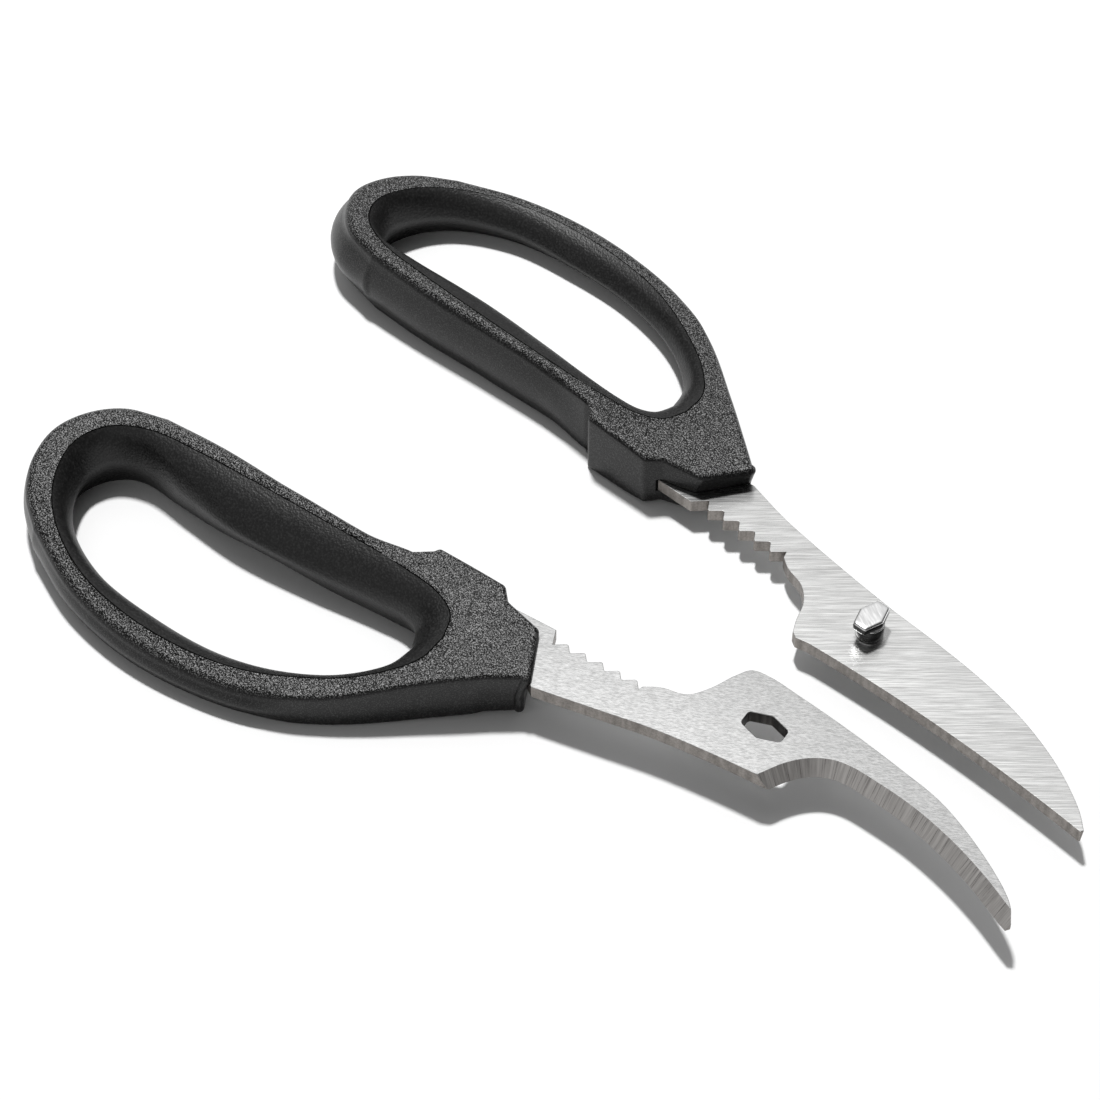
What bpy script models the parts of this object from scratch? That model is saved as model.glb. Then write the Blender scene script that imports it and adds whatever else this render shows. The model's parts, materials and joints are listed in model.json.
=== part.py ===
"""Take-apart poultry shears: two mirrored halves that turn on a hexagonal-headed pin.

Metres, +Z up. The pin half's pivot is PIVOT, and its blade points along +X. Each half is drawn in its
own half frame in millimetres: origin on the pivot, x towards the tip, y towards the outside of its
finger loop. The hook half is the mirror image across x, turned by OPENING and set down beside the pin half.
"""

import math

import bmesh
import bpy
import numpy as np
from mathutils import Matrix, Vector

MM = 0.001
GAP = 0.3                      # clearance between neighbouring pieces

# Placing the two halves
PIVOT = (48.956, 24.837)       # pin axis in the plan, with the plan box centred on the origin
HOOK_OFFSET = (1.1, -32.7)     # hook half's pivot from the pin, as the halves lie apart
OPENING = 9.0                  # turn of the hook half from closed, degrees

# Plates
PLATE = 3.0                    # steel thickness
PIN_PLATE_Z = 4.3              # underside of the pin half's plate
HOOK_PLATE_Z = PIN_PLATE_Z + PLATE + GAP
TANG_END = -58.2
TANG_SIDES = (4.6, 12.6)
PIN_TOOTH_PITCH, HOOK_TOOTH_PITCH = 3.95, 3.81
TOOTH_COUNT = 6
PIN_TOOTH_FIRST, HOOK_TOOTH_FIRST = -44.2, -43.0   # first recess between teeth
PIN_TOOTH_CREST, PIN_TOOTH_ROOT = 2.8, 5.0
HOOK_TOOTH_CREST, HOOK_TOOTH_ROOT = 3.6, 5.3
PIN_TOOTH_LEAD, HOOK_TOOTH_LEAD = 2.5, 1.4
TOOTH_CREST_RADIUS, TOOTH_RECESS_RADIUS = 0.45, 0.3
TIP = 57.0
BEVEL = 2.2                    # width of the ground edge across the plate
HOOK_EDGE_BEYOND = (57.9, 14.0)   # the hook's ground edge runs on to here, past its tip
TAPER_LENGTH = 24.0            # the pin blade's ground edge narrows towards its tip over this length

# Pivot
HEAD_LENGTH, HEAD_WIDTH, HEAD_FLAT = 7.8, 5.5, 2.9
HOLE_LENGTH, HOLE_WIDTH, HOLE_FLAT = 8.4, 5.9, 3.0
HEAD_Z = HOOK_PLATE_Z + PLATE + GAP
HEAD_HEIGHT = 1.8
CORE_RADIUS = 1.7
COLLAR_INNER, COLLAR_OUTER = 1.75, 2.75
RIVET_RADIUS, RIVET_FOOT = 2.2, 3.4

# Handles
TOP_AT_PIVOT = 12.5            # height of the handle's top plane over the pivot
TOP_ALONG = -0.036             # slope of that plane along x
TOP_ACROSS = -0.165            # slope of that plane across, down towards the outside of the loop
NOSE_TOP = 13.8                # height of the nose's top at NOSE_MIDDLE
NOSE_ALONG = -0.06             # slope of the nose's top, down towards the blade
NOSE_MIDDLE = -66.0
NOSE_DRAFT = 1.3               # how far the nose's end leans back towards its foot
DRAFT_START, DRAFT_REACH = -52.0, 6.0
NOSE_START, NOSE_END = -74.0, -41.5
UNDERCUT_START = -66.0         # where the nose begins to lift off the table
CRISP_START, CRISP_END = -86.0, -76.0   # where the rounded edges turn crisp towards the nose
PIN_NOSE_RISE, HOOK_NOSE_RISE = 2.0, 1.2   # lift of the nose's underside
PIN_NOSE_CORNER, HOOK_NOSE_CORNER = (-38.3, 16.1), (-40.2, 17.4)
EDGE = 2.1                     # radius of the handle's rounded edges
NOSE_EDGE = 1.0                # and of those on the nose and stop tab
BULGE = 0.7                    # how far the outer wall swells at half height
CORNER_BULGE = 2.6             # extra swelling round the far corner of the straight side
CORNER_START, CORNER_REACH = -112.0, 32.0
GRIP_FOOT = 2.5                # how far the liner's lower edge stands back from its waist
STATIONS = 120

STEEL = ((0.62, 0.62, 0.61), 0.38, 1.0)
POLISHED = ((0.82, 0.82, 0.82), 0.12, 1.0)
SHELL_BLACK = ((0.030, 0.030, 0.031), 0.58, 0.0)
GRIP_BLACK = ((0.018, 0.018, 0.019), 0.70, 0.0)


# ---------------------------------------------------------------- helpers

def new_collection(name):
    collection = bpy.data.collections.new(name)
    bpy.context.scene.collection.children.link(collection)
    return collection


def material(name, look):
    colour, roughness, metallic = look
    made = bpy.data.materials.new(name)
    made.use_nodes = True
    shader = made.node_tree.nodes["Principled BSDF"]
    shader.inputs["Base Color"].default_value = (*colour, 1.0)
    shader.inputs["Roughness"].default_value = roughness
    shader.inputs["Metallic"].default_value = metallic
    return made


def object_from_bmesh(name, mesh_data, collection, look=None):
    bmesh.ops.recalc_face_normals(mesh_data, faces=mesh_data.faces)
    mesh = bpy.data.meshes.new(name)
    mesh_data.to_mesh(mesh)
    mesh_data.free()
    made = bpy.data.objects.new(name, mesh)
    collection.objects.link(made)
    if look:
        mesh.materials.append(look)
    return made


def plate_object(name, outlines, z, height, collection):
    """Extruded flat plate from closed outlines in millimetres; inner outlines are holes."""
    curve = bpy.data.curves.new(name, "CURVE")
    curve.dimensions = "2D"
    curve.fill_mode = "BOTH"
    curve.extrude = height * MM / 2
    for outline in outlines:
        spline = curve.splines.new("POLY")
        spline.points.add(len(outline) - 1)
        for point, (x, y) in zip(spline.points, outline):
            point.co = (x * MM, y * MM, 0.0, 1.0)
        spline.use_cyclic_u = True
    source = bpy.data.objects.new(name + "_curve", curve)
    source.location = (0.0, 0.0, (z + height / 2) * MM)
    bpy.context.scene.collection.objects.link(source)
    bpy.context.view_layer.update()
    mesh = bpy.data.meshes.new_from_object(source)
    mesh.transform(source.matrix_world)
    bpy.data.objects.remove(source)
    welded = bmesh.new()
    welded.from_mesh(mesh)
    bmesh.ops.remove_doubles(welded, verts=welded.verts, dist=1e-6)
    return object_from_bmesh(name, welded, collection)


def loft(name, sections, collection, ring=False):
    """Skin over sections with the same number of points; a ring closes on itself, else it is capped."""
    shape = bmesh.new()
    rows = [[shape.verts.new(Vector(point) * MM) for point in section] for section in sections]
    count = len(rows)
    size = len(rows[0])
    for index in range(count if ring else count - 1):
        here, there = rows[index], rows[(index + 1) % count]
        for side in range(size):
            following = (side + 1) % size
            shape.faces.new((here[side], here[following], there[following], there[side]))
    if not ring:
        shape.faces.new(rows[0])
        shape.faces.new(rows[-1])
    return object_from_bmesh(name, shape, collection)


def boolean(target, cutter, operation="DIFFERENCE"):
    modifier = target.modifiers.new(operation.title(), "BOOLEAN")
    modifier.operation = operation
    modifier.solver = "EXACT"
    modifier.object = cutter
    bpy.context.view_layer.objects.active = target
    bpy.ops.object.modifier_apply(modifier=modifier.name)


def smoothstep(value):
    value = min(max(value, 0.0), 1.0)
    return value * value * (3.0 - 2.0 * value)


def arc_through(start, middle, end, steps):
    """Points on the circle through three points, from start up to but not including end."""
    (ax, ay), (bx, by), (cx, cy) = start, middle, end
    twice = 2.0 * (ax * (by - cy) + bx * (cy - ay) + cx * (ay - by))
    a2, b2, c2 = ax * ax + ay * ay, bx * bx + by * by, cx * cx + cy * cy
    ux = (a2 * (by - cy) + b2 * (cy - ay) + c2 * (ay - by)) / twice
    uy = (a2 * (cx - bx) + b2 * (ax - cx) + c2 * (bx - ax)) / twice
    first = math.atan2(ay - uy, ax - ux)
    mid = math.atan2(by - uy, bx - ux)
    last = math.atan2(cy - uy, cx - ux)
    turn = (last - first) % math.tau
    if (mid - first) % math.tau > turn:
        turn -= math.tau
    radius = math.hypot(ax - ux, ay - uy)
    angles = [first + turn * step / steps for step in range(steps)]
    return [(ux + radius * math.cos(angle), uy + radius * math.sin(angle)) for angle in angles]


def smooth_curve(points, per_span):
    """Centripetal Catmull-Rom curve through the points, ends included."""
    padded = [2 * np.array(points[0]) - np.array(points[1]), *map(np.array, points)]
    padded.append(2 * np.array(points[-1]) - np.array(points[-2]))
    curve = []
    for p0, p1, p2, p3 in zip(padded, padded[1:], padded[2:], padded[3:]):
        t1 = np.linalg.norm(p1 - p0) ** 0.5
        t2 = t1 + np.linalg.norm(p2 - p1) ** 0.5
        t3 = t2 + np.linalg.norm(p3 - p2) ** 0.5
        for step in range(per_span):
            t = t1 + (t2 - t1) * step / per_span
            a1 = (t1 - t) / t1 * p0 + t / t1 * p1
            a2 = (t2 - t) / (t2 - t1) * p1 + (t - t1) / (t2 - t1) * p2
            a3 = (t3 - t) / (t3 - t2) * p2 + (t - t2) / (t3 - t2) * p3
            b1 = (t2 - t) / t2 * a1 + t / t2 * a2
            b2 = (t3 - t) / (t3 - t1) * a2 + (t - t1) / (t3 - t1) * a3
            point = (t2 - t) / (t2 - t1) * b1 + (t - t1) / (t2 - t1) * b2
            curve.append((float(point[0]), float(point[1])))
    curve.append(tuple(float(value) for value in points[-1]))
    return curve


def rounded_polygon(corners, steps=4):
    """Closed outline from (x, y, radius) corners, each corner an arc."""
    outline = []
    count = len(corners)
    for index, (x, y, radius) in enumerate(corners):
        here = Vector((x, y))
        back = (Vector(corners[index - 1][:2]) - here).normalized()
        ahead = (Vector(corners[(index + 1) % count][:2]) - here).normalized()
        half = back.angle(ahead) / 2
        if radius <= 0.0 or half > math.radians(88):
            outline.append((x, y))
            continue
        reach = radius / math.tan(half)
        centre = here + (back + ahead).normalized() * radius / math.sin(half)
        start = here + back * reach - centre
        sweep = start.angle_signed(here + ahead * reach - centre)
        for step in range(steps + 1):
            spoke = Matrix.Rotation(-sweep * step / steps, 2) @ start
            outline.append((centre.x + spoke.x, centre.y + spoke.y))
    return outline


def resample(points, count):
    """Closed outline as evenly spaced points, from its first point."""
    ring = np.array(points + [points[0]])
    lengths = np.concatenate(([0.0], np.cumsum(np.linalg.norm(np.diff(ring, axis=0), axis=1))))
    marks = np.linspace(0.0, lengths[-1], count, endpoint=False)
    return np.column_stack([np.interp(marks, lengths, ring[:, axis]) for axis in (0, 1)])


def offset(points, distance):
    """Closed outline moved sideways; positive is outwards for a clockwise outline."""
    points = np.asarray(points)
    run = np.roll(points, -1, axis=0) - np.roll(points, 1, axis=0)
    run /= np.linalg.norm(run, axis=1)[:, None]
    return points + distance * np.column_stack([-run[:, 1], run[:, 0]])


# ---------------------------------------------------------------- handles

def handle_outline(nose_corner):
    """Outside of a handle, clockwise from the outer corner of its nose, seen from above."""
    straight = smooth_curve([(-76.0, 3.4), (-87.5, 4.2), (-103.0, 3.7), (-122.0, 2.7), (-136.0, 3.0)], 5)
    end = smooth_curve([(-136.0, 3.0), (-145.2, 5.4), (-151.4, 10.4), (-154.7, 16.9), (-154.0, 24.4),
                        (-150.2, 31.2), (-143.4, 37.0)], 4)
    loop = smooth_curve([(-143.4, 37.0), (-130.0, 43.6), (-115.0, 47.1), (-100.0, 47.3), (-85.0, 44.6),
                         (-72.0, 38.2), (-57.0, 26.7), (-48.2, 19.9)], 5)
    nose = rounded_polygon([(*nose_corner, 1.1), (-46.4, 4.7, 1.3), (-54.7, 2.8, 1.4),
                            (-57.1, GAP / 2, 1.1), (-72.2, GAP / 2, 1.1), (-74.3, 3.2, 1.6)])
    return nose + straight[:-1] + end[:-1] + loop


def seam_outline():
    """Line on the top face between the hard shell and the soft liner, clockwise."""
    return smooth_curve([(-60.2, 16.5), (-62.0, 11.6), (-66.5, 8.9), (-75.0, 7.6), (-94.0, 6.9),
                         (-125.0, 6.8), (-137.0, 7.7), (-144.8, 11.3), (-148.4, 17.7), (-146.8, 25.6),
                         (-141.3, 32.9), (-130.5, 39.6), (-118.5, 42.8), (-104.0, 43.6), (-90.0, 41.6),
                         (-77.5, 36.4), (-67.5, 29.9), (-61.3, 22.8), (-60.2, 16.5)], 5)[:-1]


def opening_outline():
    """Narrowest line of the finger opening, at half height, clockwise."""
    return smooth_curve([(-66.4, 19.0), (-68.3, 14.6), (-72.5, 12.7), (-80.0, 12.8), (-96.0, 14.1),
                         (-112.0, 14.4), (-126.0, 12.5), (-136.6, 10.8), (-142.8, 12.8), (-145.4, 18.2),
                         (-143.7, 24.6), (-138.6, 30.8), (-127.0, 36.5), (-112.0, 38.4), (-97.0, 38.4),
                         (-84.0, 35.7), (-75.0, 31.3), (-68.4, 25.2), (-66.4, 19.0)], 5)[:-1]


def nose_share(x):
    return smoothstep((x - NOSE_START) / (NOSE_END - NOSE_START))


def top_height(x, y):
    slanted = TOP_AT_PIVOT + TOP_ALONG * x + TOP_ACROSS * y
    share = nose_share(x)
    nose = NOSE_TOP + NOSE_ALONG * (x - NOSE_MIDDLE)
    return slanted * (1.0 - share) + nose * share


def bottom_height(x, rise):
    return rise * smoothstep((x - UNDERCUT_START) / (NOSE_END - UNDERCUT_START))


def crisp_share(x):
    return smoothstep((x - CRISP_START) / (CRISP_END - CRISP_START))


def matched(outline, anchor):
    """Outline point facing each station of the anchor ring, found by walking both rings together."""
    outline = resample(outline, 4 * STATIONS)
    centre = np.mean(anchor, axis=0)
    angles = np.unwrap(np.arctan2(*(outline - centre).T[::-1]))
    wanted = np.unwrap(np.arctan2(*(anchor - centre).T[::-1]))
    if angles[-1] > angles[0]:
        angles, outline = angles[::-1], outline[::-1]
    turns = [angles + math.tau * k for k in (2, 1, 0, -1, -2)]
    ladder = np.concatenate(turns)
    tall = np.concatenate([outline] * 5)
    order = np.argsort(ladder)
    return np.column_stack([np.interp(wanted, ladder[order], tall[order, axis]) for axis in (0, 1)])


def shell_sections(rise, nose_corner):
    """Cross-sections round the hard shell, each from its inner top edge over the outside to the bottom."""
    outer = resample(handle_outline(nose_corner), STATIONS)
    seam = offset(matched(seam_outline(), outer), GAP / 2)
    outward = np.asarray(outer) - offset(outer, -1.0)
    sections = []
    for (ox, oy), (sx, sy), (nx, ny) in zip(outer, seam, outward):
        run = math.hypot(ox - sx, oy - sy)
        crisp = crisp_share(ox)
        edge = min(EDGE + (NOSE_EDGE - EDGE) * crisp, 0.6 * run)
        corner = max(0.0, -0.8 * nx - 0.6 * ny) ** 2 * smoothstep((CORNER_START - ox) / CORNER_REACH)
        swell = BULGE * (1.0 - crisp) + CORNER_BULGE * corner
        lean = NOSE_DRAFT * smoothstep((ox - DRAFT_START) / DRAFT_REACH)
        top, bottom = top_height(ox, oy), bottom_height(ox, rise)
        seam_top, seam_bottom = top_height(sx, sy), bottom_height(sx, rise)
        section = [(sx, sy, seam_bottom), (sx, sy, seam_top)]
        for step in range(5):
            angle = math.pi / 2 * step / 4
            back = edge * (1.0 - math.sin(angle))
            section.append((ox - nx * back, oy - ny * back, top - edge * (1.0 - math.cos(angle))))
        for share, out in ((0.27, 0.72), (0.52, 1.0), (0.77, 0.85)):
            section.append((ox + nx * swell * out - lean * min(1.0, 2 * share), oy + ny * swell * out,
                            top + (bottom - top) * share))
        for step in range(5):
            angle = math.pi / 2 * (1.0 - step / 4)
            back = edge * (1.0 - math.sin(angle))
            section.append((ox - nx * back - lean, oy - ny * back, bottom + edge * (1.0 - math.cos(angle))))
        sections.append(section)
    return sections


def grip_sections(rise):
    """Cross-sections round the soft liner: straight against the shell, swelling into the opening."""
    waist = resample(opening_outline(), STATIONS)
    seam = offset(matched(seam_outline(), waist), -GAP / 2)
    sections = []
    for (wx, wy), (sx, sy) in zip(waist, seam):
        run = math.hypot(sx - wx, sy - wy)
        ux, uy = (sx - wx) / run, (sy - wy) / run
        foot = min(GRIP_FOOT, 0.75 * run)
        top, bottom = top_height(sx, sy), bottom_height(sx, rise)
        middle = (top + bottom) / 2
        section = [(sx, sy, bottom), (sx, sy, top)]
        for share, drop in ((0.26, 0.15), (0.52, 0.34), (0.76, 0.60), (0.93, 0.84)):
            section.append((sx - ux * run * share, sy - uy * run * share, top - drop * (top - middle)))
        section.append((wx, wy, middle))
        section.append((wx + ux * foot * 0.35, wy + uy * foot * 0.35, bottom + 0.62 * (middle - bottom)))
        for share, drop in ((1.0, 0.30), (0.85, 0.16), (0.5, 0.06)):
            reach = (run - foot) * share
            section.append((sx - ux * reach, sy - uy * reach, bottom + drop * (middle - bottom)))
        sections.append(section)
    return sections


# ---------------------------------------------------------------- plates

def tooth_row(first, pitch, crest, root, crest_lead):
    """Saw-tooth edge from the nose towards the pivot: a recess, then a crest crest_lead before the next."""
    corners = []
    for number in range(TOOTH_COUNT):
        recess = first + number * pitch
        corners.append((recess, root, TOOTH_RECESS_RADIUS if number else 0.0))
        corners.append((recess + pitch - crest_lead, crest, TOOTH_CREST_RADIUS))
    corners[-2] = (*corners[-2][:2], 0.0)
    return rounded_polygon(corners[:-1], 2)


def tang_outline(front, front_end):
    """Plate edge inside the handle, from the outer shank edge round to the tooth edge."""
    return [(-44.0, TANG_SIDES[1] + 1.2), (-46.0, TANG_SIDES[1]), (TANG_END, TANG_SIDES[1]),
            (TANG_END, TANG_SIDES[0]), (-55.2, TANG_SIDES[0]), (-55.2, front), (front_end, front)]


def pin_plate_outline():
    """Counter-clockwise from the tip along the convex cutting edge, shank, tang, teeth and spine."""
    cutting = smooth_curve([(TIP - 0.3, -9.9), (53.6, -6.9), (45.2, -1.6), (34.5, 2.7), (23.4, 5.2),
                            (11.7, 6.6), (0.4, 7.4)], 4)
    shank = [(-9.5, 8.5), (-21.5, 10.1), (-30.5, 11.6), (-40.2, 14.1)]
    teeth = tooth_row(PIN_TOOTH_FIRST, PIN_TOOTH_PITCH, PIN_TOOTH_CREST, PIN_TOOTH_ROOT, PIN_TOOTH_LEAD)
    tang = tang_outline(2.4, PIN_TOOTH_FIRST - PIN_TOOTH_LEAD)
    shoulder = smooth_curve([(-24.0, 3.6), (-21.6, 2.0), (-17.0, 0.4), (-14.0, -2.6), (-12.3, -6.8),
                             (-10.9, -9.6)], 3)
    spine = [(-9.6, -10.4), (-8.2, -10.1)] + arc_through((-7.0, -9.8), (20.0, -8.8), (TIP - 0.9, -10.5), 8)
    return cutting + shank + tang + teeth + shoulder + spine + [(TIP - 0.6, -10.55)]


def hook_plate_outline():
    """Clockwise in the half frame from the tip along the back, teeth, tang and shank to the edge."""
    back = smooth_curve([(TIP + 0.2, 12.4), (54.9, 9.1), (47.0, 3.2), (35.4, -2.8), (25.4, -5.4),
                         (12.2, -8.1), (2.0, -9.7), (-5.2, -10.6), (-8.7, -10.1), (-10.7, -7.2),
                         (-13.0, -2.2), (-15.8, 1.4), (-20.7, 2.7), (-23.6, 4.4)], 3)
    teeth = tooth_row(HOOK_TOOTH_FIRST, HOOK_TOOTH_PITCH, HOOK_TOOTH_CREST, HOOK_TOOTH_ROOT,
                      HOOK_TOOTH_LEAD)[::-1]
    tang = tang_outline(2.0, HOOK_TOOTH_FIRST - HOOK_TOOTH_LEAD)[::-1]
    shank = smooth_curve([(-40.8, 16.0), (-28.0, 13.7), (-17.3, 11.8), (-5.1, 10.6), (6.4, 10.0)], 3)
    return back + teeth + tang + shank + cutting_edge() + [(TIP - 0.4, 13.2)]


def cutting_edge():
    """Concave edge of the hooked blade, from its heel to its tip."""
    return smooth_curve([(7.0, 9.7), (8.7, 6.7), (11.2, 3.8), (14.0, 2.0), (17.0, 1.3), (23.1, 1.7),
                         (31.0, 2.9), (39.4, 5.3), (47.5, 8.6), (54.8, 12.4)], 3)


def run_on(path, reach):
    """Path carried straight on past both of its ends."""
    first, second, before, last = (Vector(path[index]) for index in (0, 1, -2, -1))
    start = first + (first - second).normalized() * reach
    end = last + (last - before).normalized() * reach
    return [tuple(start), *path, tuple(end)]


def edge_cutter(name, path, inward, z_edge, z_face, widths, collection):
    """Wedge along a path that grinds a plate from its edge level up or down to its face level."""
    sections = []
    beyond = 1.4
    rise = z_face - z_edge
    path = run_on(path, 2.0)
    for index, ((x, y), width) in enumerate(zip(path, [widths[0], *widths, widths[-1]])):
        ahead = path[min(index + 1, len(path) - 1)]
        behind = path[max(index - 1, 0)]
        run = Vector((ahead[0] - behind[0], ahead[1] - behind[1])).normalized()
        nx, ny = -run.y * inward, run.x * inward
        inner, outer = width * beyond, -width * (beyond - 1.0)
        far = outer - 3.0
        low, high = z_edge - rise * (beyond - 1.0), z_edge + rise * beyond
        sections.append([(x + nx * outer, y + ny * outer, low), (x + nx * inner, y + ny * inner, high),
                         (x + nx * far, y + ny * far, high), (x + nx * far, y + ny * far, low)])
    return loft(name, sections, collection)


def long_hexagon(length, width, flat, along_x):
    """Hexagon stretched along one axis, with flats of the given size at its two ends."""
    corners = [(length / 2, flat / 2), (0.0, width / 2), (-length / 2, flat / 2),
               (-length / 2, -flat / 2), (0.0, -width / 2), (length / 2, -flat / 2)]
    if along_x:
        return [(x, y, 0.9) for x, y in corners]
    return [(-y, x, 0.6) for x, y in corners]


def circle(radius, count=32):
    return [(radius * math.cos(math.tau * k / count), radius * math.sin(math.tau * k / count))
            for k in range(count)]


# ---------------------------------------------------------------- build

def mirrored(target):
    """Turn a piece drawn for the pin half into its mirror image."""
    target.data.transform(Matrix.Diagonal((1.0, -1.0, 1.0, 1.0)))
    target.data.flip_normals()


def tang_cutter(name, z, collection):
    grown = [(TANG_END - GAP, TANG_SIDES[1] + GAP), (-46.4, TANG_SIDES[1] + GAP), (-38.0, 17.6),
             (-38.0, -2.0), (-55.2 - GAP, -2.0), (-55.2 - GAP, TANG_SIDES[0] - GAP),
             (TANG_END - GAP, TANG_SIDES[0] - GAP)]
    return plate_object(name, [grown], z - GAP, PLATE + 2 * GAP, collection)


def build_handle(prefix, plate_z, rise, nose_corner, parts, cutters):
    shell = loft(prefix + "_handle_shell", shell_sections(rise, nose_corner), parts, ring=True)
    boolean(shell, tang_cutter(prefix + "_tang_slot", plate_z, cutters))
    grip = loft(prefix + "_handle_grip", grip_sections(rise), parts, ring=True)
    return shell, grip


def build_pin(parts, cutters):
    """Hexagonal head, round core and rivet foot turned from one piece."""
    head = loft("pivot_pin", pin_head_sections(), parts)
    core = plate_object("pin_core", [circle(CORE_RADIUS, 24)], PIN_PLATE_Z + 1.0, HEAD_Z - PIN_PLATE_Z, cutters)
    rivet = plate_object("pin_rivet", [circle(RIVET_RADIUS, 24)], PIN_PLATE_Z - 0.9, PLATE + 0.9, cutters)
    foot = plate_object("pin_foot", [circle(RIVET_FOOT, 24)], PIN_PLATE_Z - 1.4, 1.4 - GAP, cutters)
    for piece in (core, rivet, foot):
        boolean(head, piece, "UNION")
    return head


def pin_head_sections():
    sections = []
    for inset, z in ((0.25, 0.0), (0.0, 0.2), (0.0, HEAD_HEIGHT - 0.5), (0.2, HEAD_HEIGHT - 0.15),
                     (0.5, HEAD_HEIGHT)):
        outline = rounded_polygon(long_hexagon(HEAD_LENGTH - 2 * inset, HEAD_WIDTH - 2 * inset,
                                               HEAD_FLAT - inset, False), 2)
        sections.append([(x, y, HEAD_Z + z) for x, y in outline])
    return sections


def build_pin_blade(parts, cutters):
    rivet_hole = circle(RIVET_RADIUS + GAP, 24)
    blade = plate_object("pin_blade", [pin_plate_outline(), rivet_hole], PIN_PLATE_Z, PLATE, parts)
    path = smooth_curve([(TIP - 0.3, -9.9), (53.6, -6.9), (45.2, -1.6), (34.5, 2.7), (23.4, 5.2),
                         (11.7, 6.6)], 4)
    widths = [0.3 + (BEVEL - 0.3) * smoothstep((TIP - x) / TAPER_LENGTH) for x, _ in path]
    wedge = edge_cutter("pin_edge_wedge", path, 1, PIN_PLATE_Z + PLATE, PIN_PLATE_Z, widths, cutters)
    boolean(blade, wedge)
    return blade


def build_hook_blade(parts, cutters):
    hole = rounded_polygon(long_hexagon(HOLE_LENGTH, HOLE_WIDTH, HOLE_FLAT, True), 2)
    blade = plate_object("hook_blade", [hook_plate_outline(), hole], HOOK_PLATE_Z, PLATE, parts)
    path = cutting_edge() + [HOOK_EDGE_BEYOND]
    wedge = edge_cutter("hook_edge_wedge", path, -1, HOOK_PLATE_Z, HOOK_PLATE_Z + PLATE,
                        [BEVEL] * len(path), cutters)
    boolean(blade, wedge)
    return blade


def build_collar(parts):
    z = PIN_PLATE_Z + PLATE + GAP
    return plate_object("pivot_collar", [circle(COLLAR_OUTER, 32), circle(COLLAR_INNER, 32)], z,
                        HEAD_Z - GAP - z, parts)


def main():
    for leftover in list(bpy.data.objects):
        bpy.data.objects.remove(leftover)
    parts = new_collection("poultry_shears")
    cutters = new_collection("cutters")

    steel = material("brushed_blade_steel", STEEL)
    polished = material("polished_pin_steel", POLISHED)
    shell_black = material("textured_black_plastic", SHELL_BLACK)
    grip_black = material("soft_black_liner", GRIP_BLACK)

    pin_shell, pin_grip = build_handle("pin", PIN_PLATE_Z, PIN_NOSE_RISE, PIN_NOSE_CORNER, parts, cutters)
    hook_shell, hook_grip = build_handle("hook", HOOK_PLATE_Z, HOOK_NOSE_RISE, HOOK_NOSE_CORNER, parts, cutters)
    pin_blade = build_pin_blade(parts, cutters)
    hook_blade = build_hook_blade(parts, cutters)
    pin = build_pin(parts, cutters)
    collar = build_collar(parts)

    looks = {pin_shell: shell_black, hook_shell: shell_black, pin_grip: grip_black, hook_grip: grip_black,
             pin_blade: steel, hook_blade: steel, pin: polished, collar: polished}
    for piece, look in looks.items():
        piece.data.materials.clear()
        piece.data.materials.append(look)
    for piece in (hook_shell, hook_grip, hook_blade):
        mirrored(piece)

    pin_half = bpy.data.objects.new("pin_half", None)
    hook_half = bpy.data.objects.new("hook_half", None)
    for empty in (pin_half, hook_half):
        parts.objects.link(empty)
    pin_half.location = (PIVOT[0] * MM, PIVOT[1] * MM, 0.0)
    hook_half.location = ((PIVOT[0] + HOOK_OFFSET[0]) * MM, (PIVOT[1] + HOOK_OFFSET[1]) * MM, 0.0)
    hook_half.rotation_euler = (0.0, 0.0, math.radians(OPENING))
    for piece in (pin_shell, pin_grip, pin_blade, pin, collar):
        piece.parent = pin_half
    for piece in (hook_shell, hook_grip, hook_blade):
        piece.parent = hook_half
    for cutter in cutters.objects:
        cutter.hide_render = True
        cutter.display_type = "WIRE"


main()
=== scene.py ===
import json
import math

import bmesh
import bpy
import numpy as np
from mathutils import Matrix, Vector


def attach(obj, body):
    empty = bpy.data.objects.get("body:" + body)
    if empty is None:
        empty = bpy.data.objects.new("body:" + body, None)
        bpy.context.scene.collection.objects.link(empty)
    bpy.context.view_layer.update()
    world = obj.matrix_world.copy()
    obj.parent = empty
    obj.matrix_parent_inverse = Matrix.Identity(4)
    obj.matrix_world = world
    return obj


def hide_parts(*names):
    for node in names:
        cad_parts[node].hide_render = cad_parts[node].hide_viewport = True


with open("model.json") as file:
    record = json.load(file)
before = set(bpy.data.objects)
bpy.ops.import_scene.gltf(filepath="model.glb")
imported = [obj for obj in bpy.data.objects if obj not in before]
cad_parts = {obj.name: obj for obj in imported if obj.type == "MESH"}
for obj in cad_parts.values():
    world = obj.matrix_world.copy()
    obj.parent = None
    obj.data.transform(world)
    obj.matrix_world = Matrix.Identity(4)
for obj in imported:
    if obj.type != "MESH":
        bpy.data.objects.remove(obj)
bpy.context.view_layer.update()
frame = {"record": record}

MM = 0.001

# Placing, in millimetres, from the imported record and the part's own dimensions
PIVOT = [value / MM for value in frame["record"]["behaviour"]["joints"][0]["pos_m"][:2]]
HOOK_OFFSET = (1.1, -32.7)
OPENING = 9.0
GAP = 0.3

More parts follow.
